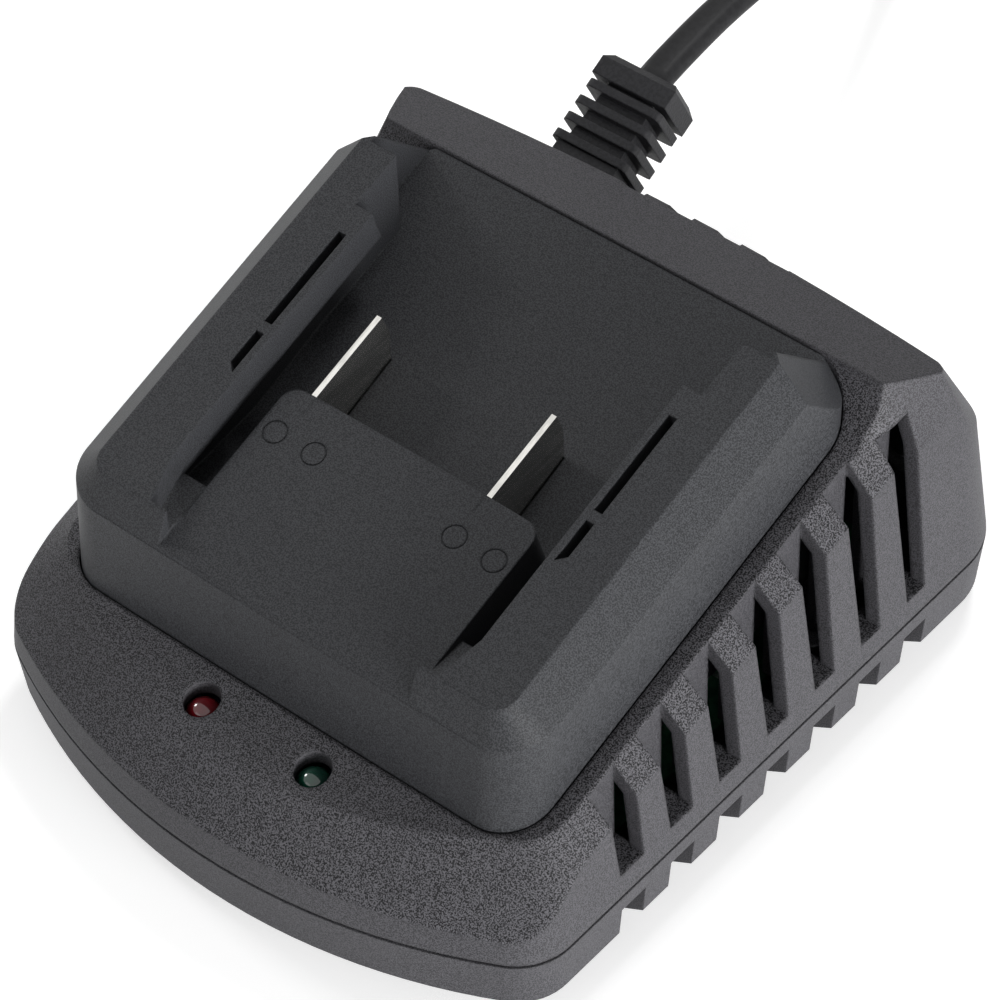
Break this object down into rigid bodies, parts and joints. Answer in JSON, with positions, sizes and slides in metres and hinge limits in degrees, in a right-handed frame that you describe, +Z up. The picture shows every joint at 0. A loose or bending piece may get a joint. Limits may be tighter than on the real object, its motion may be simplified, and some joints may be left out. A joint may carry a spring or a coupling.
{
  "type": "battery charger",
  "caption": "Desktop charger with a tilted slide-in battery cradle, vented flanks, two lamps and a coiled mains cord.",
  "frame": {"origin": "middle of the charger's footprint on the table, cord left out", "axes": "+X to the right as seen from the lamps, +Y towards the cord end, +Z up"},
  "size_m": [0.1022, 0.3108, 0.0624],
  "materials": {
    "housing": "fine spark-eroded texture",
    "housing_lower": "fine spark-eroded texture",
    "cradle": "satin, textured tops",
    "contact_metal": "plated strip",
    "lamp_red": "clear tinted resin",
    "lamp_green": "clear tinted resin",
    "board": "solder mask",
    "ferrite": "dull ferrite",
    "capacitor_sleeve": "shrink sleeve",
    "copper_winding": "enamelled wire",
    "aluminium_sheet": "as rolled",
    "component_black": "moulded epoxy",
    "fuse_glass": "glass tube",
    "terminal_green": "moulded",
    "lead_wire": "insulated wire",
    "screw_steel": "zinc plated",
    "foot_rubber": "matt",
    "relief_rubber": "matt moulded",
    "cord_sheath": "satin sheath",
    "tie_plastic": "woven strap",
    "plug_rubber": "satin moulded",
    "pin_metal": "nickel plated"
  },
  "bodies": {
    "root": {"top_shell": "housing", "bottom_shell": "housing_lower", "battery_cradle": "cradle", "contact_blade_left": "contact_metal", "contact_blade_right": "contact_metal", "led_red": "lamp_red", "led_green": "lamp_green", "circuit_board": "board", "transformer": "ferrite", "bulk_capacitor": "capacitor_sleeve", "output_capacitors": "capacitor_sleeve", "choke": "copper_winding", "heat_sink": "aluminium_sheet", "power_transistor": "component_black", "bridge_rectifier": "component_black", "fuse": "fuse_glass", "controller_chip": "component_black", "input_terminal": "terminal_green", "input_leads": "lead_wire", "output_leads": "lead_wire", "board_screws": "screw_steel", "case_screws": "screw_steel", "rubber_feet": "foot_rubber", "strain_relief": "relief_rubber", "cord_lead": "cord_sheath", "cord_coil": "cord_sheath", "coil_tie": "tie_plastic", "plug_body": "plug_rubber", "plug_pins": "pin_metal"}
  },
  "joints": []
}
